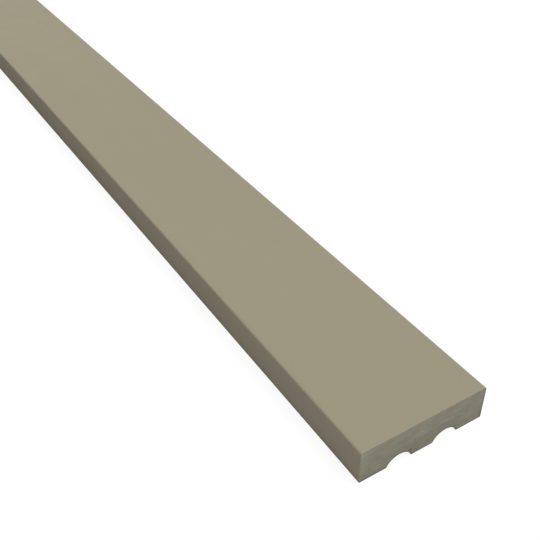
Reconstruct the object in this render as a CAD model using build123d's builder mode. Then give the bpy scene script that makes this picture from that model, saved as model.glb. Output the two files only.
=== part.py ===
"""Exterior trim board: one straight length of stock with two relief grooves along its back.

The board lies on its grooved back with the finished face up. X runs along the length, Y across
the width and Z through the thickness. The origin is under the middle of the board, on the plane
of the back. Sizes are in millimetres.
"""

import os

from build123d import *

# Stock size: five-quarter by four trim, cut square to an eight-foot length
LENGTH = 2438.4
WIDTH = 88.9
THICKNESS = 25.4

# Relief grooves: two equal round channels, the same distance either side of the middle line.
# The spacing is from groove centre to groove centre, and the width is the open mouth's.
GROOVE_SPACING = 33.3
GROOVE_WIDTH = 17.5
GROOVE_DEPTH = 6.35

# Eased edges: radii along the finished face, along the back and on the lips of the grooves
FACE_EASING = 1.6
BACK_EASING = 0.5
LIP_EASING = 0.3

# A round cutter of this radius, sunk to the groove's depth, opens the groove to its width
groove_radius = (GROOVE_WIDTH**2 / 4 + GROOVE_DEPTH**2) / (2 * GROOVE_DEPTH)
groove_centre = GROOVE_DEPTH - groove_radius

with BuildPart() as trim_board:
    with BuildSketch(Plane.YZ.offset(-LENGTH / 2)) as section:
        Rectangle(WIDTH, THICKNESS, align=(Align.CENTER, Align.MIN))
        with Locations((-GROOVE_SPACING / 2, groove_centre), (GROOVE_SPACING / 2, groove_centre)):
            Circle(groove_radius, mode=Mode.SUBTRACT)

        # In the section's own plane the width runs along X and the thickness along Y
        face_corners = section.vertices().group_by(Axis.Y)[-1]
        fillet(face_corners, radius=FACE_EASING)

        # The lowest corners, in order across the back, start and end at the board's own edges
        lip_corners = section.vertices().group_by(Axis.Y)[0].sort_by(Axis.X)[1:-1]
        fillet(lip_corners, radius=LIP_EASING)

        back_corners = section.vertices().group_by(Axis.Y)[0].sort_by(Axis.X)
        fillet([back_corners[0], back_corners[-1]], radius=BACK_EASING)
    extrude(amount=LENGTH)

trim_board.part.label = "trim_board"

os.makedirs("parts", exist_ok=True)
export_step(trim_board.part, "parts/trim_board.step")
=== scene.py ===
"""Looks of the trim board: coated face and edges, saw-cut ends and a sealed, grooved back.

Lengths are in metres, in the part's own frame: X along the board, Y across it and Z up.
"""

import math

import bpy
import numpy as np
from mathutils import Matrix, Vector, noise


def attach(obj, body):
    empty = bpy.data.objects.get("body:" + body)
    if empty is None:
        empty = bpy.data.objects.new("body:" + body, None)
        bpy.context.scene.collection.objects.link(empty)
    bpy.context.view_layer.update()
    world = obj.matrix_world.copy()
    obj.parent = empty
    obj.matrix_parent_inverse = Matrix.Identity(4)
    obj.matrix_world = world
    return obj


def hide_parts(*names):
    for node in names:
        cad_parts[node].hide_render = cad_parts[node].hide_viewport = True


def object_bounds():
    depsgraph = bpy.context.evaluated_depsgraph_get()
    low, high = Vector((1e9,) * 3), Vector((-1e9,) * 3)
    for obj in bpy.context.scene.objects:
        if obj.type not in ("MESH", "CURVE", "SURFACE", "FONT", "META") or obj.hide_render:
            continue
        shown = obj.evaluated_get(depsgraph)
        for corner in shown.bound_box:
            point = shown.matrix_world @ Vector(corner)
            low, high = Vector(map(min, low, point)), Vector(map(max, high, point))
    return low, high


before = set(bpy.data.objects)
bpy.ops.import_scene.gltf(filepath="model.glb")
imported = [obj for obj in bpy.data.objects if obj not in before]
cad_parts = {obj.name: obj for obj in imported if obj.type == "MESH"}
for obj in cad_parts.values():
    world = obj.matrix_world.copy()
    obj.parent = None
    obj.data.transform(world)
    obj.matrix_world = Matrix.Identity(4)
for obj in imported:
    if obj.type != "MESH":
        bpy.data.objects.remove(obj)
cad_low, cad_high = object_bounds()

# Board: the outside comes from the frame, and the section repeats the part's own sizes
LENGTH, WIDTH, THICKNESS = cad_high - cad_low
HALF_LENGTH = LENGTH / 2
HALF_WIDTH = WIDTH / 2
GROOVE_SPACING = 0.0333
GROOVE_WIDTH = 0.0175
GROOVE_DEPTH = 0.00635
FACE_EASING = 0.0016
BACK_EASING = 0.0005
LIP_EASING = 0.0003
GROOVE_RADIUS = (GROOVE_WIDTH**2 / 4 + GROOVE_DEPTH**2) / (2 * GROOVE_DEPTH)
GROOVE_CENTRE = GROOVE_DEPTH - GROOVE_RADIUS

# A groove's lip: a small arc that touches the back's plane and the round of the groove
LIP_OFFSET = math.sqrt((GROOVE_RADIUS + LIP_EASING) ** 2 - (LIP_EASING - GROOVE_CENTRE) ** 2)
LIP_INNER = LIP_OFFSET * GROOVE_RADIUS / (GROOVE_RADIUS + LIP_EASING)

# Wear and painted light, where 1 is fully worn and lit and -1 fully darkened: the height of the painted
# shade at the foot of the edges, the tones of the ends' rims, and the tone and reach of the darkening
# inside those rims. The rims are lighter as worn paint with a painted highlight, and darker as painted
# shade along the back and as a dark line up the right edge.
FOOT_SHADE_HEIGHT = 0.0016
RIM_WEAR_AND_HIGHLIGHT = 0.2
RIM_DARKENING = -0.8
END_DARKENING = -0.6
END_DARKENING_REACH = 0.0011

# Cut ends: a small round on the rim, and the relief that the saw leaves about a mean depth: long ridges
# and fine grit, so many to the metre, and the share of the relief that each takes
END_EASING = 0.00025
SAW_RELIEF = 0.00009
SAW_SEED = 3.0
SAW_RIDGES_ACROSS = 45
SAW_RIDGES_UP = 900
SAW_GRIT = 700
SAW_MEAN_SHARE = 0.5
SAW_RIDGE_SHARE = 0.35
SAW_GRIT_SHARE = 0.15

# Marks that show on the near end. A scuff is a stroke from one place to another, with its reach to
# either side and its strength. A pit is a place, with its reach and its strength. A place is across the
# width and up from the back.
NEAR_END_SCUFFS = [
    ((0.0248, 0.0136), (0.0298, 0.0128), 0.0005, 0.8),
    ((0.0324, 0.0128), (0.0352, 0.0125), 0.0004, 0.8),
    ((0.0336, 0.0085), (0.0372, 0.0110), 0.0005, 0.5),
    ((0.0121, 0.0150), (0.0170, 0.0145), 0.0006, 0.9),
    ((-0.0034, 0.0174), (-0.0005, 0.0157), 0.0005, 0.8),
    ((-0.0101, 0.0224), (-0.0074, 0.0209), 0.0005, 0.4),
    ((-0.0166, 0.0191), (-0.0142, 0.0177), 0.0004, 0.35),
    ((-0.0430, 0.0235), (-0.0420, 0.0120), 0.0018, 0.3),
    ((-0.0434, 0.0250), (-0.0430, 0.0161), 0.0005, 0.5),
    ((-0.0417, 0.0229), (-0.0414, 0.0158), 0.0005, 0.45),
    ((-0.0400, 0.0213), (-0.0395, 0.0132), 0.0005, 0.4),
]
# Each pit is dented in the mesh and coloured dark, which is painted shade in it
NEAR_END_PITS = [
    ((-0.0084, 0.0049), 0.0009, 1.0),
    ((-0.0058, 0.0036), 0.0007, 0.5),
]
PIT_DEPTH = 0.0003

# Mesh: how finely the section, the ends and the length are divided, and how near even places across
# may come to those on the arcs
STEP_ACROSS = 0.00045
NEAREST_ACROSS = STEP_ACROSS / 3
ROWS_UP = 54
ARC_STEPS = 7
GROOVE_STEPS = 36
RIM_STEPS = 5
STEP_ALONG = 0.05
SUPPORT = 0.00025
SUPPORT_ALONG = 0.0015
SHARP_ANGLE = math.radians(40)

# Finishes, in the order of the mesh's material slots
FACE_COAT, EDGE_COAT, SAWN_END, BACK_COAT = range(4)

# Map for baked textures, in pixels of its square: the two ends at its foot, drawn large, and above them
# the long sides in rows, unrolled and cut into lengths, with more room for the edges and less for the
# back.
MAP_NAME = "OFBake"
MAP_SIDE = 1024
MAP_GUTTER = 4
MAP_NEAR_END = 564
MAP_FAR_END = MAP_SIDE - MAP_NEAR_END - 3 * MAP_GUTTER
MAP_LENGTHS = 3
MAP_ROW = 279
MAP_ROOM = {FACE_COAT: 1.0, EDGE_COAT: 1.6, BACK_COAT: 0.8}

# Finish colours, which are linear
FACE_PAINT = (0.327, 0.298, 0.213)
EDGE_PAINT = (0.343, 0.308, 0.228)
# Lighter paint on the ends' cut rims: worn paint, and a painted highlight along those edges
WORN_AND_HIGHLIT_PAINT = (0.46, 0.43, 0.34)
# Dark paint: painted shade at the foot of the long edges and along the ends' back, and a dark line up the
# ends' right edge
DARKENED_PAINT = (0.10, 0.093, 0.07)
CUT_END = (0.325, 0.311, 0.239)
BACK_SEAL = (0.318, 0.294, 0.224)
DULL_SHEEN = 0.08

# Roughness of the finishes, from smoothest to roughest
FACE_ROUGHNESS = (0.55, 0.65)
EDGE_ROUGHNESS = (0.86, 0.94)
END_ROUGHNESS = (0.78, 0.92)
BACK_ROUGHNESS = (0.74, 0.88)

# Grains in the finishes: the size of the marks in metres, how many times that size they are drawn out
# along X, Y and Z, and their detail
EVENLY = (1, 1, 1)
CLOUD_GRAIN = (0.33, (1, 0.17, 0.17), 2.0)
SPECK_GRAIN = (0.0011, EVENLY, 2.0)
PATCH_GRAIN = (0.006, (4, 1, 1), 3.0)
PEEL_GRAIN = (0.0014, EVENLY, 2.0)
BRUSH_GRAIN = (0.0038, (33, 1, 1), 4.0)
SHEEN_GRAIN = (0.025, EVENLY, 3.0)
LAYER_GRAIN = (0.0012, (14, 14, 1), 4.0)
MOTTLE_GRAIN = (0.008, (1, 1.5, 1), 3.0)
STREAK_GRAIN = (0.0013, (10, 10, 1), 2.0)
PORE_GRAIN = (0.0019, EVENLY, 1.0)
GRIT_GRAIN = (0.0011, EVENLY, 3.0)
LINE_GRAIN = (0.0014, (300, 1, 6), 4.0)
BLOTCH_GRAIN = (0.055, (2.5, 1, 1), 4.0)
CHATTER_GRAIN = (0.0024, (1, 20, 20), 1.0)

# Tones of the marks, as factors of the finish's colour. A pair goes from the darkest to the lightest.
CLOUD_TONES = (0.985, 1.015)
SPECK_TONE = 0.96
LAYER_TONES = (0.92, 1.12)
MOTTLE_TONE = 0.84
STREAK_TONE = 1.35
PORE_TONE = 0.45
# Painted light on the cut end: painted shade towards its foot, lighter towards its top
END_SHADE_AT_FOOT = 0.91
END_LIGHT_AT_TOP = 1.07
SCUFF_TONE = 1.45
# Pits are drawn near black: painted shade in them
PIT_SHADE_TONE = 0.15
LINE_TONES = (0.94, 1.04)
BLOTCH_TONE = 0.88

# Ranges of noise, of wear with painted highlight and of painted shade, and spans: a range of noise or
# marks, and the range of shares it gives
NOISE_RANGE = (0.3, 0.7)
WORN_AND_HIGHLIT_RANGE = (0.0, 1.0)
DARKENED_RANGE = (0.0, -1.0)
SPECK_SPAN = (0.35, 0.65, 0.0, 0.5)
PATCH_SPAN = (0.35, 0.6, 0.25, 0.7)
MOTTLE_SPAN = (0.4, 0.6, 0.0, 0.6)
STREAK_SPAN = (0.62, 0.72, 0.0, 0.4)
PORE_SPAN = (0.76, 0.84, 0.0, 0.4)
SCUFF_SPAN = (0.1, 1.0, 0.0, 0.7)
PIT_SPAN = (-0.1, -1.0, 0.0, 0.9)
BLOTCH_SPAN = (0.45, 0.7, 0.0, 0.5)

# Depths of the fine relief in the finishes
PEEL_DEPTH = 0.00002
BRUSH_DEPTH = 0.00002
LAYER_DEPTH = 0.00008
GRIT_DEPTH = 0.00006
LINE_DEPTH = 0.00006
CHATTER_DEPTH = 0.00004

# Light and floor. A level is a share of plain light. The floor's tone is for the light that it throws
# back, and its glow and shade are what shows of it. It lies a hair below the board.
WHITE = (1, 1, 1)
SKY_SEEN = 1.0
SKY_LEVEL = 0.32
SUN_LEVEL = 0.68
SUN_TOWARDS = Vector((0.30, 0.25, 1.0)).normalized()
SUN_SOFTNESS = math.radians(35)
UNDER_LEVEL = 0.45
UNDER_AIM = Vector((0.0, 0.0, 1.0))
FILL_PLACE = Vector((cad_high.x + 0.25, -0.60, 0.15))
FILL_TARGET = Vector((cad_high.x - 0.05, 0.0, THICKNESS / 2))
FILL_SIZE = 0.30
FILL_POWER = 0.56
FLOOR_TONE = 0.45
FLOOR_GLOW = 0.90
FLOOR_SHADE = 0.12
FLOOR_REACH = 12.0
FLOOR_DROP = 0.0002

# Camera: placed from the near end of the board, looking down along it. The shift is a share of the frame.
CAMERA_PLACE = Vector((cad_high.x + 0.1962, -0.2068, 0.3430))
CAMERA_TARGET = Vector((cad_high.x - 0.1043, -0.0371, THICKNESS))
CAMERA_ROLL = math.radians(-2.83)
CAMERA_LENS = 50.43
CAMERA_SHIFT = 0.125
CAMERA_NEAREST = 0.01
SENSOR = 36.0


def stations_across():
    """Places across the width where the section is sampled: every arc finely, the flats evenly."""
    turn = np.linspace(0, math.pi / 2, ARC_STEPS)
    marks = [0.0]
    for easing in (FACE_EASING, BACK_EASING):
        corner = HALF_WIDTH - easing
        marks += list(corner + easing * np.sin(turn))
        marks.append(corner - SUPPORT)
    swing = math.asin(LIP_INNER / GROOVE_RADIUS)
    across = GROOVE_RADIUS * np.sin(np.linspace(-swing, swing, GROOVE_STEPS))
    lip = LIP_OFFSET - (LIP_OFFSET - LIP_INNER) * np.sin(turn)
    marks += list(GROOVE_SPACING / 2 + across)
    for side in (-1, 1):
        marks += list(GROOVE_SPACING / 2 + side * lip)
        marks.append(GROOVE_SPACING / 2 + side * (LIP_OFFSET + SUPPORT))
    marks = np.unique(np.round(marks, 8))
    even = np.arange(0, HALF_WIDTH, STEP_ACROSS)
    gap = np.abs(even[:, None] - marks[None, :]).min(axis=1)
    half = np.sort(np.concatenate([marks, even[gap > NEAREST_ACROSS]]))
    return np.concatenate([-half[:0:-1], half])


def rounded(offset, radius):
    """Height of a quarter round above its centre, and the way it faces, at an offset across it."""
    rise = math.sqrt(max(0.0, radius**2 - offset**2))
    return rise, offset / radius, rise / radius


def face_point(y):
    """Height and outward direction of the finished face, with its eased edges, at a place across."""
    past = abs(y) - (HALF_WIDTH - FACE_EASING)
    if past <= 0:
        return THICKNESS, 0.0, 1.0
    rise, out, up = rounded(past, FACE_EASING)
    return THICKNESS - FACE_EASING + rise, math.copysign(out, y), up


def back_point(y):
    """Height and outward direction of the grooved back at a place across."""
    past = abs(y) - (HALF_WIDTH - BACK_EASING)
    if past > 0:
        rise, out, down = rounded(past, BACK_EASING)
        return BACK_EASING - rise, math.copysign(out, y), -down
    middle = math.copysign(GROOVE_SPACING / 2, y)
    aside = y - middle
    if abs(aside) < LIP_INNER:
        rise, out, down = rounded(aside, GROOVE_RADIUS)
        return GROOVE_CENTRE + rise, -out, -down
    if abs(aside) < LIP_OFFSET:
        into = LIP_OFFSET - abs(aside)
        rise, out, down = rounded(into, LIP_EASING)
        return LIP_EASING - rise, -math.copysign(out, aside), -down
    return 0.0, 0.0, -1.0


class Section:
    """The board's section: two rows of points, back and face, and the rim that goes round them."""

    def __init__(self):
        self.across = stations_across()
        self.back, self.back_out = self.trace(back_point)
        self.face, self.face_out = self.trace(face_point)
        self.columns = len(self.across)
        self.rows = ROWS_UP + 1
        self.rim = self.border()
        self.outline = self.drawn_in(0.0)
        self.wear_and_painted_light = np.array([self.foot_shade_at(y, z) for y, z in self.outline])
        # Border points along the back and up the right edge: their rims take painted shade along the back
        # and a dark line up the right edge
        self.darkened = (self.rim[:, 1] == 0) | (self.rim[:, 0] == self.columns - 1)
        self.rim_wear_and_painted_light = np.where(self.darkened, RIM_DARKENING, RIM_WEAR_AND_HIGHLIGHT)
        self.finishes = self.coats()
        self.around = self.unrolled()

    def trace(self, point_at):
        """The places along the back or the face, and the way each of them faces."""
        found = np.array([point_at(y) for y in self.across])
        places = np.column_stack([self.across, found[:, 0]])
        return places, found[:, 1:]

    def grid(self, inset):
        """Points over the whole section, from back to face, with the rim drawn in by an inset."""
        low = self.back - inset * self.back_out
        high = self.face - inset * self.face_out
        share = np.linspace(0, 1, self.rows)[None, :, None]
        return low[:, None, :] * (1 - share) + high[:, None, :] * share

    def border(self):
        """The grid's border points as (column, row): along the back, up, along the face and down."""
        last_column, last_row = self.columns - 1, self.rows - 1
        loop = [(c, 0) for c in range(self.columns)]
        loop += [(last_column, r) for r in range(1, self.rows)]
        loop += [(c, last_row) for c in range(last_column - 1, -1, -1)]
        loop += [(0, r) for r in range(last_row - 1, 0, -1)]
        return np.array(loop)

    def drawn_in(self, inset):
        """The outline, point by point round the rim, drawn in by an inset."""
        return self.grid(inset)[self.rim[:, 0], self.rim[:, 1]]

    def foot_shade_at(self, y, z):
        """Painted shade: down to -1 at the foot of an edge, and 0 above that strip and on the back."""
        if abs(y) > HALF_WIDTH - BACK_EASING:
            return -max(0.0, 1 - z / FOOT_SHADE_HEIGHT)
        return 0.0

    def darkening_near_rim(self, places):
        """Darkening on a cut end, which fades away from the rim: painted shade along the back, and a dark
        line along the right edge.
        """
        gaps = places[:, None, :] - self.outline[self.darkened][None, :, :]
        away = np.linalg.norm(gaps, axis=2).min(axis=1)
        return END_DARKENING * np.exp(-((away / END_DARKENING_REACH) ** 2))

    def coats(self):
        """The finish of each stretch of the rim, from one border point to the next."""
        found = []
        for (column, row), (next_column, next_row) in zip(self.rim, np.roll(self.rim, -1, axis=0)):
            outermost = max(abs(self.across[column]), abs(self.across[next_column]))
            if row == next_row == self.rows - 1:
                found.append(FACE_COAT)
            elif row == next_row == 0 and outermost < HALF_WIDTH - BACK_EASING / 2:
                found.append(BACK_COAT)
            else:
                found.append(EDGE_COAT)
        return np.array(found)

    def unrolled(self):
        """How far round the outline each border point comes on the map, from 0 to 1 at the first again."""
        steps = np.linalg.norm(np.roll(self.outline, -1, axis=0) - self.outline, axis=1)
        room = steps * [MAP_ROOM[finish] for finish in self.finishes]
        return np.append(0.0, np.cumsum(room)) / room.sum()


def quads(grid):
    """The corners of the four-sided faces between the neighbours of a grid of numbers or places."""
    corners = (grid[:-1, :-1], grid[1:, :-1], grid[1:, 1:], grid[:-1, 1:])
    return np.stack(corners, axis=2).reshape(-1, 4, *grid.shape[2:])


class BoardMesh:
    """Gathers points with their wear, painted light and marks, and faces with their finish and place on
    the map.
    """

    def __init__(self):
        self.points = []
        self.wear_and_painted_light = []
        self.mark = []
        self.faces = []
        self.layout = []
        self.finishes = []

    def add_points(self, places, wear_and_painted_light, mark=0.0):
        """Points with their wear, painted light and marks. Returns their numbers."""
        first = sum(len(block) for block in self.points)
        self.points.append(places)
        self.wear_and_painted_light.append(np.broadcast_to(wear_and_painted_light, len(places)))
        self.mark.append(np.broadcast_to(mark, len(places)))
        return first + np.arange(len(places))

    def add_ring(self, x, outline, wear_and_painted_light):
        """The points of an outline at a place along the board. Returns their numbers."""
        return self.add_points(np.insert(outline, 0, x, axis=1), wear_and_painted_light)

    def add_faces(self, numbers, layout, finish):
        """Faces over a grid of point numbers, with the grid of their places on the map."""
        corners = quads(numbers)
        self.faces.append(corners)
        self.layout.append(quads(layout))
        self.finishes.append(np.broadcast_to(finish, len(corners)))

    def build(self, name):
        """The mesh, smooth but for its sharp edges, with its map and the values at its points."""
        mesh = bpy.data.meshes.new(name)
        mesh.from_pydata(np.concatenate(self.points).tolist(), [], np.concatenate(self.faces).tolist())
        mesh.polygons.foreach_set("material_index", np.concatenate(self.finishes))
        mesh.uv_layers.new(name=MAP_NAME).uv.foreach_set("vector", np.concatenate(self.layout).ravel())
        mesh.shade_smooth()
        mesh.set_sharp_from_angle(angle=SHARP_ANGLE)
        for layer, values in (("wear_and_painted_light", self.wear_and_painted_light), ("mark", self.mark)):
            mesh.attributes.new(layer, "FLOAT", "POINT").data.foreach_set("value", np.concatenate(values))
        mesh.update()
        return mesh


def end_on_map(places, side):
    """Where places on an end, or unrolled just past its border, lie on the map."""
    left = MAP_GUTTER if side > 0 else 2 * MAP_GUTTER + MAP_NEAR_END
    scale = (MAP_NEAR_END if side > 0 else MAP_FAR_END) / (WIDTH + 2 * END_EASING)
    from_corner = places * (side, 1) + (HALF_WIDTH + END_EASING, END_EASING)
    return ((left, MAP_GUTTER) + scale * from_corner) / MAP_SIDE


def sides_on_map(around, along, row):
    """Where one length of the long sides lies on the map: in its own row, counted from the top."""
    right = MAP_GUTTER + (MAP_SIDE - 2 * MAP_GUTTER) * (along - along[0]) / np.ptp(along)
    up = MAP_SIDE - MAP_GUTTER - row * (MAP_ROW + MAP_GUTTER) - MAP_ROW * around
    return np.stack(np.meshgrid(right, up), axis=-1) / MAP_SIDE


def near_end_marks(places):
    """What shows at each place on the near end: up to 1 on a scuff, down to -1 in a pit, 0 elsewhere."""
    mark = np.zeros(len(places))
    for start, end, reach, strength in NEAR_END_SCUFFS:
        run = np.subtract(end, start)
        along = np.clip((places - start) @ run / (run @ run), 0, 1)
        away = np.linalg.norm(places - start - along[:, None] * run, axis=1)
        mark = np.maximum(mark, strength * np.exp(-((away / reach) ** 2)))
    for middle, reach, strength in NEAR_END_PITS:
        away = np.linalg.norm(places - middle, axis=1)
        mark = mark - strength * np.exp(-((away / reach) ** 2))
    return mark


def saw_relief(places, seed):
    """How deep the saw has scored each place on a cut end: fine ridges that run across the board."""
    depth = []
    for y, z in places:
        ridge = noise.noise(Vector((y * SAW_RIDGES_ACROSS + seed, z * SAW_RIDGES_UP, seed)))
        grit = noise.noise(Vector((y * SAW_GRIT, z * SAW_GRIT + seed, seed)))
        depth.append(SAW_MEAN_SHARE + SAW_RIDGE_SHARE * ridge + SAW_GRIT_SHARE * grit)
    return SAW_RELIEF * np.clip(depth, 0, 1)


def add_cut_end(mesh, section, side):
    """One end, near (1) or far (-1), as a full grid of points. Returns the point numbers of its border."""
    grid = section.grid(END_EASING)
    places = grid.reshape(-1, 2)
    mark = near_end_marks(places) if side > 0 else np.zeros(len(places))
    depth = saw_relief(places, SAW_SEED + side) - PIT_DEPTH * np.minimum(mark, 0)
    inside = np.zeros(grid.shape[:2])
    inside[1:-1, 1:-1] = 1
    x = side * (HALF_LENGTH - depth * inside.ravel())
    points = np.column_stack([x, places])
    numbers = mesh.add_points(points, section.darkening_near_rim(places), mark).reshape(grid.shape[:2])
    mesh.add_faces(numbers[::side], end_on_map(grid, side)[::side], SAWN_END)
    return numbers[section.rim[:, 0], section.rim[:, 1]]


def closed(loops):
    """Loops as the columns of a grid, with the first row repeated as the last to close them."""
    grid = np.stack(loops, axis=1)
    return np.concatenate([grid, grid[:1]])


def add_rim(mesh, section, border, side):
    """The small round from a cut end's border to the long sides. Returns the numbers of its last ring."""
    rings = [border]
    layout = [end_on_map(section.drawn_in(END_EASING), side)]
    for step in range(1, RIM_STEPS + 1):
        angle = math.pi / 2 * step / RIM_STEPS
        x = side * (HALF_LENGTH - END_EASING * (1 - math.cos(angle)))
        outline = section.drawn_in(END_EASING * (1 - math.sin(angle)))
        # The rims are lighter as worn paint with a painted highlight, and darker where painted shade or
        # the dark line falls; the last ring takes the long sides' values, with painted shade at the foot
        wear_and_painted_light = section.rim_wear_and_painted_light if step < RIM_STEPS else section.wear_and_painted_light
        rings.append(mesh.add_ring(x, outline, wear_and_painted_light))
        layout.append(end_on_map(section.drawn_in(END_EASING * (1 - angle)), side))
    finish = np.repeat(section.finishes, RIM_STEPS)
    mesh.add_faces(closed(rings)[:, ::-side], closed(layout)[:, ::-side], finish)
    return rings[-1]


def places_along():
    """Places along the length, from the far end to the near one, between the two cut rims."""
    end = HALF_LENGTH - END_EASING
    inner = end - SUPPORT_ALONG
    count = round(2 * inner / STEP_ALONG)
    return np.concatenate([[-end], np.linspace(-inner, inner, count), [end]])


def add_long_sides(mesh, section, far_ring, near_ring):
    """The face, the edges and the back, as rings of the outline from the far end to the near one."""
    along = places_along()
    between = [mesh.add_ring(x, section.outline, section.wear_and_painted_light) for x in along[1:-1]]
    numbers = closed([far_ring, *between, near_ring])
    cuts = np.linspace(0, len(along) - 1, MAP_LENGTHS + 1).round().astype(int)
    for row in range(MAP_LENGTHS):
        first, last = cuts[row], cuts[row + 1]
        layout = sides_on_map(section.around, along[first : last + 1], row)
        finish = np.repeat(section.finishes, last - first)
        mesh.add_faces(numbers[:, first : last + 1], layout, finish)


def board_mesh():
    """One closed mesh of the whole board."""
    section = Section()
    mesh = BoardMesh()
    outer_rings = []
    for side in (-1, 1):
        border = add_cut_end(mesh, section, side)
        outer_rings.append(add_rim(mesh, section, border, side))
    add_long_sides(mesh, section, *outer_rings)
    return mesh.build("trim_board_finish")


def shade(colour, factor):
    """A colour made darker or lighter by a factor."""
    return tuple(c * factor for c in colour)


class Shader:
    """A small helper that adds nodes to a material and links them."""

    def __init__(self, name):
        self.material = bpy.data.materials.new(name)
        self.material.use_nodes = True
        self.tree = self.material.node_tree
        self.surface = self.tree.nodes["Principled BSDF"]

    def add(self, kind, inputs=None, **settings):
        """A new node of a kind, with its inputs and settings."""
        node = self.tree.nodes.new(kind)
        for key, value in settings.items():
            setattr(node, key, value)
        for key, value in (inputs or {}).items():
            self.put(node, key, value)
        return node

    def put(self, node, key, value):
        """Links an output to a node's input, or sets the input to a constant."""
        if isinstance(value, bpy.types.NodeSocket):
            self.tree.links.new(value, node.inputs[key])
        else:
            node.inputs[key].default_value = value

    def grain(self, size, long, detail):
        """Noise from about 0 to 1, with marks of a size in metres, drawn out along each axis."""
        spot = self.add("ShaderNodeTexCoord").outputs["Object"]
        squeeze = [1 / (size * times) for times in long]
        place = self.add("ShaderNodeMapping", {"Vector": spot, "Scale": squeeze}).outputs["Vector"]
        inputs = {"Vector": place, "Scale": 1.0, "Detail": detail}
        return self.add("ShaderNodeTexNoise", inputs).outputs["Fac"]

    def height(self):
        """How far up the board a point is, from the plane of the back."""
        spot = self.add("ShaderNodeTexCoord").outputs["Object"]
        return self.add("ShaderNodeSeparateXYZ", {"Vector": spot}).outputs["Z"]

    def attribute(self, name):
        """A value that the mesh carries at each of its points."""
        return self.add("ShaderNodeAttribute", attribute_name=name).outputs["Fac"]

    def span(self, value, low, high, to_low=0.0, to_high=1.0):
        """A value carried over from one range to another, and held at its ends."""
        inputs = {"Value": value, "From Min": low, "From Max": high, "To Min": to_low, "To Max": to_high}
        return self.add("ShaderNodeMapRange", inputs).outputs["Result"]

    def times(self, a, b):
        """Two values multiplied."""
        return self.add("ShaderNodeMath", {0: a, 1: b}, operation="MULTIPLY").outputs["Value"]

    def mix(self, share, a, b, blend="MIX"):
        """Colour a, with a share of colour b blended in."""
        node = self.add("ShaderNodeMix", data_type="RGBA", blend_type=blend)
        self.put(node, "Factor", share)
        for socket, value in (("A_Color", a), ("B_Color", b)):
            target = next(s for s in node.inputs if s.identifier == socket)
            if isinstance(value, bpy.types.NodeSocket):
                self.tree.links.new(value, target)
            else:
                target.default_value = (*value, 1.0)
        return next(s for s in node.outputs if s.identifier == "Result_Color")

    def varied(self, grain, colour, tones):
        """A colour that runs from its darkest tone to its lightest with a grain."""
        darkest, lightest = tones
        return self.mix(self.span(grain, *NOISE_RANGE), shade(colour, darkest), shade(colour, lightest))

    def bump(self, height, distance, under=None):
        """Fine relief of a depth, on top of any relief under it."""
        inputs = {"Height": height, "Distance": distance}
        if under is not None:
            inputs["Normal"] = under
        return self.add("ShaderNodeBump", inputs).outputs["Normal"]

    def finish(self, colour, roughness, normal):
        """Puts the looks on the material's own surface, and returns the material."""
        self.put(self.surface, "Base Color", colour)
        self.put(self.surface, "Roughness", roughness)
        self.put(self.surface, "Normal", normal)
        self.put(self.surface, "Specular IOR Level", DULL_SHEEN)
        return self.material


def coat(name, paint, roughness):
    """Factory coat: even in colour and finely textured, lighter on the cut rims as worn paint and a
    painted highlight, with painted shade at the foot of the edges and along the ends' back rims, and a
    dark line up their right edge.
    """
    s = Shader(name)
    colour = s.varied(s.grain(*CLOUD_GRAIN), paint, CLOUD_TONES)
    darker = s.mix(1.0, colour, shade(WHITE, SPECK_TONE), "MULTIPLY")
    colour = s.mix(s.span(s.grain(*SPECK_GRAIN), *SPECK_SPAN), colour, darker)
    # Lighter where worn, which also paints a highlight on the cut rims; darker as painted shade at the
    # foot of the edges and along the ends' back rims, and as a dark line up their right edge
    wear_and_painted_light = s.attribute("wear_and_painted_light")
    patch = s.span(s.grain(*PATCH_GRAIN), *PATCH_SPAN)
    colour = s.mix(s.times(s.span(wear_and_painted_light, *WORN_AND_HIGHLIT_RANGE), patch), colour, WORN_AND_HIGHLIT_PAINT)
    colour = s.mix(s.span(wear_and_painted_light, *DARKENED_RANGE), colour, DARKENED_PAINT)
    peel = s.bump(s.grain(*PEEL_GRAIN), PEEL_DEPTH)
    normal = s.bump(s.grain(*BRUSH_GRAIN), BRUSH_DEPTH, under=peel)
    return s.finish(colour, s.span(s.grain(*SHEEN_GRAIN), *NOISE_RANGE, *roughness), normal)


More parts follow.
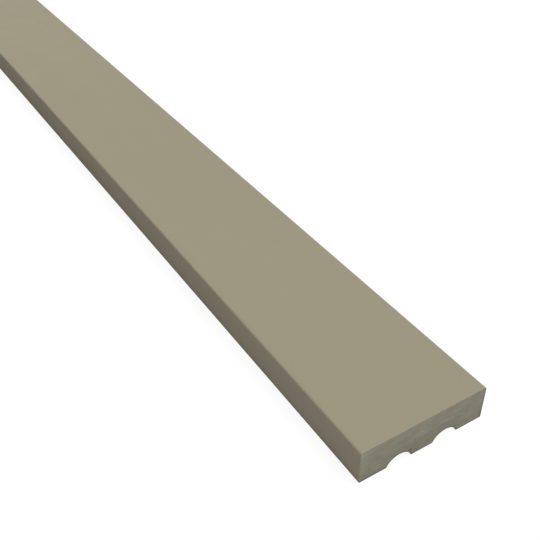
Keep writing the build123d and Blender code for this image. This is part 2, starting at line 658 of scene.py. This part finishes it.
def cut_end_material():
    """Sawn end under a thin coat: faint layers, mottle, streaks, pores and the near end's marks, painted
    shade towards the foot and lighter towards the top, pits painted dark as their shade, and painted shade
    along the back with a dark line along the right edge.
    """
    s = Shader("trim_cut_end")
    layer = s.grain(*LAYER_GRAIN)
    mottle = s.grain(*MOTTLE_GRAIN)
    colour = s.varied(layer, CUT_END, LAYER_TONES)
    colour = s.mix(s.span(mottle, *MOTTLE_SPAN), colour, shade(CUT_END, MOTTLE_TONE))
    colour = s.mix(s.span(s.grain(*STREAK_GRAIN), *STREAK_SPAN), colour, shade(CUT_END, STREAK_TONE))
    colour = s.mix(s.span(s.grain(*PORE_GRAIN), *PORE_SPAN), colour, shade(CUT_END, PORE_TONE))
    # Painted light: the end is darker towards its foot as painted shade and lighter towards its top
    up = s.span(s.height(), 0.0, THICKNESS)
    painted_light_up_the_end = s.mix(up, shade(WHITE, END_SHADE_AT_FOOT), shade(WHITE, END_LIGHT_AT_TOP))
    colour = s.mix(1.0, colour, painted_light_up_the_end, "MULTIPLY")
    mark = s.attribute("mark")
    colour = s.mix(s.span(mark, *SCUFF_SPAN), colour, shade(CUT_END, SCUFF_TONE))
    # The pits' dark colour is painted shade in them
    colour = s.mix(s.span(mark, *PIT_SPAN), colour, shade(CUT_END, PIT_SHADE_TONE))
    # Painted shade along the back of the end, and a dark line along its right edge
    colour = s.mix(s.span(s.attribute("wear_and_painted_light"), *DARKENED_RANGE), colour, DARKENED_PAINT)
    normal = s.bump(layer, LAYER_DEPTH)
    normal = s.bump(s.grain(*GRIT_GRAIN), GRIT_DEPTH, under=normal)
    return s.finish(colour, s.span(mottle, *NOISE_RANGE, *END_ROUGHNESS), normal)


def back_material():
    """Sealed back and grooves: a thinner coat over long planer lines."""
    s = Shader("trim_sealed_back")
    line = s.grain(*LINE_GRAIN)
    blotch = s.grain(*BLOTCH_GRAIN)
    colour = s.varied(line, BACK_SEAL, LINE_TONES)
    colour = s.mix(s.span(blotch, *BLOTCH_SPAN), colour, shade(BACK_SEAL, BLOTCH_TONE))
    normal = s.bump(line, LINE_DEPTH)
    normal = s.bump(s.grain(*CHATTER_GRAIN), CHATTER_DEPTH, under=normal)
    return s.finish(colour, s.span(blotch, *NOISE_RANGE, *BACK_ROUGHNESS), normal)


def make_board():
    """The finished board stands for the plain solid, in the same place."""
    board = bpy.data.objects.new("painted_trim_board", board_mesh())
    bpy.context.scene.collection.objects.link(board)
    finishes = {
        FACE_COAT: coat("trim_face_coat", FACE_PAINT, FACE_ROUGHNESS),
        EDGE_COAT: coat("trim_edge_coat", EDGE_PAINT, EDGE_ROUGHNESS),
        SAWN_END: cut_end_material(),
        BACK_COAT: back_material(),
    }
    for slot in sorted(finishes):
        board.data.materials.append(finishes[slot])
    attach(board, "root")
    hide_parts("trim_board")


def seen_directly(tree):
    """One where a surface is looked at, or seen in a gloss or through glass, and zero for its light."""
    path = tree.nodes.new("ShaderNodeLightPath")
    seen = path.outputs["Is Camera Ray"]
    for name in ("Is Glossy Ray", "Is Transmission Ray"):
        either = tree.nodes.new("ShaderNodeMath")
        either.operation = "MAXIMUM"
        tree.links.new(seen, either.inputs[0])
        tree.links.new(path.outputs[name], either.inputs[1])
        seen = either.outputs["Value"]
    return seen


def floor_material():
    """A pale finish that looks white, keeps the board's shadow and is open to views from below."""
    material = bpy.data.materials.new("floor_pale")
    material.use_nodes = True
    tree = material.node_tree
    tree.nodes.clear()
    nodes = {
        key: tree.nodes.new(kind)
        for key, kind in {
            "lit": "ShaderNodeBsdfDiffuse",
            "shade": "ShaderNodeBsdfDiffuse",
            "glow": "ShaderNodeEmission",
            "looked_at": "ShaderNodeAddShader",
            "choice": "ShaderNodeMixShader",
            "under": "ShaderNodeBsdfTransparent",
            "side": "ShaderNodeMixShader",
            "geometry": "ShaderNodeNewGeometry",
            "out": "ShaderNodeOutputMaterial",
        }.items()
    }
    nodes["lit"].inputs["Color"].default_value = (*shade(WHITE, FLOOR_TONE), 1)
    nodes["shade"].inputs["Color"].default_value = (*shade(WHITE, FLOOR_SHADE), 1)
    nodes["glow"].inputs["Strength"].default_value = FLOOR_GLOW
    link = tree.links.new
    link(nodes["shade"].outputs[0], nodes["looked_at"].inputs[0])
    link(nodes["glow"].outputs[0], nodes["looked_at"].inputs[1])
    link(seen_directly(tree), nodes["choice"].inputs[0])
    link(nodes["lit"].outputs[0], nodes["choice"].inputs[1])
    link(nodes["looked_at"].outputs[0], nodes["choice"].inputs[2])
    link(nodes["geometry"].outputs["Backfacing"], nodes["side"].inputs[0])
    link(nodes["choice"].outputs[0], nodes["side"].inputs[1])
    link(nodes["under"].outputs[0], nodes["side"].inputs[2])
    link(nodes["side"].outputs[0], nodes["out"].inputs["Surface"])
    return material


def floor_corners(half_length, half_width):
    """The corners of a level rectangle just below the board, anticlockwise as seen from above."""
    signs = ((-1, -1), (1, -1), (1, 1), (-1, 1))
    return [(x * half_length, y * half_width, -FLOOR_DROP) for x, y in signs]


def add_floor_piece(name, corners, faces, material):
    """A flat piece of floor, which isn't part of the object."""
    mesh = bpy.data.meshes.new(name)
    mesh.from_pydata(corners, [], faces)
    mesh.materials.append(material)
    piece = bpy.data.objects.new(name, mesh)
    bpy.context.scene.collection.objects.link(piece)
    return piece


def make_floor():
    """A floor round the board and, under it, a piece that looks the same but lets light up to the back."""
    material = floor_material()
    outer = floor_corners(FLOOR_REACH, FLOOR_REACH)
    inner = floor_corners(HALF_LENGTH - END_EASING, HALF_WIDTH - BACK_EASING)
    sides = [(0, 1, 5, 4), (1, 2, 6, 5), (2, 3, 7, 6), (3, 0, 4, 7)]
    add_floor_piece("floor", outer + inner, sides, material)
    under = add_floor_piece("floor_under_board", inner, [(0, 1, 2, 3)], material)
    under.visible_diffuse = False
    under.visible_glossy = False
    under.visible_transmission = False
    under.visible_shadow = False


def place_lamp(name, kind, energy, aim, place=(0, 0, 0), **settings):
    """A lamp at a place, shining along the direction that it is aimed in."""
    lamp = bpy.data.lights.new(name, kind)
    lamp.energy = energy
    for key, value in settings.items():
        setattr(lamp, key, value)
    holder = bpy.data.objects.new(name, lamp)
    holder.location = place
    holder.rotation_mode = "QUATERNION"
    holder.rotation_quaternion = aim.to_track_quat("-Z", "Y")
    bpy.context.scene.collection.objects.link(holder)


def make_light():
    """An even sky, a soft lamp high over the near end, one from below and a low fill on the near left."""
    world = bpy.data.worlds.new("studio")
    bpy.context.scene.world = world
    world.use_nodes = True
    tree = world.node_tree
    background = tree.nodes["Background"]
    background.inputs["Color"].default_value = (*WHITE, 1)
    level = tree.nodes.new("ShaderNodeMapRange")
    tree.links.new(seen_directly(tree), level.inputs["Value"])
    level.inputs["To Min"].default_value = SKY_LEVEL
    level.inputs["To Max"].default_value = SKY_SEEN
    tree.links.new(level.outputs["Result"], background.inputs["Strength"])

    sun_energy = SUN_LEVEL * math.pi / SUN_TOWARDS.z
    place_lamp("soft_sun", "SUN", sun_energy, -SUN_TOWARDS, angle=SUN_SOFTNESS)
    place_lamp("soft_under", "SUN", UNDER_LEVEL * math.pi, UNDER_AIM, angle=SUN_SOFTNESS)
    place_lamp("near_fill", "AREA", FILL_POWER, FILL_TARGET - FILL_PLACE, FILL_PLACE, size=FILL_SIZE)


def make_camera():
    """The photograph's viewpoint: close to the near end, looking down along the board."""
    data = bpy.data.cameras.new("camera")
    data.sensor_fit = "HORIZONTAL"
    data.sensor_width = SENSOR
    data.lens = CAMERA_LENS
    data.shift_y = CAMERA_SHIFT
    data.clip_start = CAMERA_NEAREST
    camera = bpy.data.objects.new("camera", data)
    aim = (CAMERA_TARGET - CAMERA_PLACE).to_track_quat("-Z", "Y").to_matrix()
    turned = aim @ Matrix.Rotation(CAMERA_ROLL, 3, "Z")
    camera.matrix_world = Matrix.Translation(CAMERA_PLACE) @ turned.to_4x4()
    bpy.context.scene.collection.objects.link(camera)
    bpy.context.scene.camera = camera


make_board()
make_floor()
make_light()
make_camera()
bpy.context.scene.view_settings.view_transform = "Standard"
